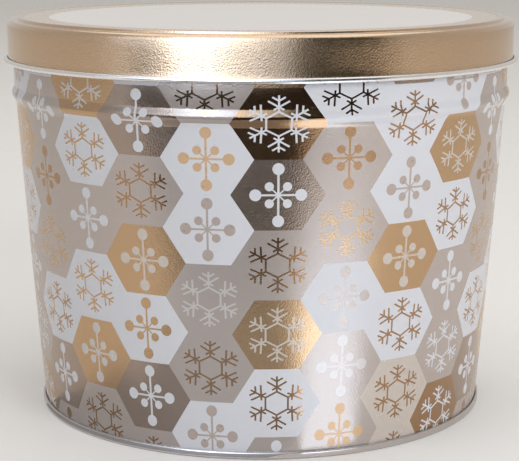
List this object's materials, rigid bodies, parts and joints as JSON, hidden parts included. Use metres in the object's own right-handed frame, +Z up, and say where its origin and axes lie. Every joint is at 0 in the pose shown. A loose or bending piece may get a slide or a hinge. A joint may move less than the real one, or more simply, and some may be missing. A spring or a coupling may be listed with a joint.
{
  "type": "cookie tin",
  "caption": "Round tapered tinplate tin with a slip-over lid, a raised bead under the lid and a double seamed bottom.",
  "frame": {"origin": "centre of the foot, on the surface that the tin stands on", "axes": "+Z up along the tin's axis; -Y is the front, and the wall's welded side seam is at +Y"},
  "size_m": [0.2546, 0.2546, 0.1935],
  "materials": {
    "printed_tinplate": "tinplate printed with a hexagon pattern in white, taupe, champagne, gold and bronze inks under gloss varnish",
    "bright_tinplate": "bare bright tinplate",
    "sealing_compound": "matte cured sealing compound",
    "gold_lacquer": "satin gold lacquer on tinplate with a fine orange peel, white enamel panel on top, bare curl"
  },
  "bodies": {
    "tin": {"body_wall": "printed_tinplate", "bottom_end": "bright_tinplate", "seam_compound": "sealing_compound"},
    "lid": {"lid": "gold_lacquer"}
  },
  "joints": [
    {"name": "lid_lift", "type": "slide", "parent": "tin", "child": "lid", "axis": [0, 0, 1], "range_m": [0, 0.12]}
  ]
}
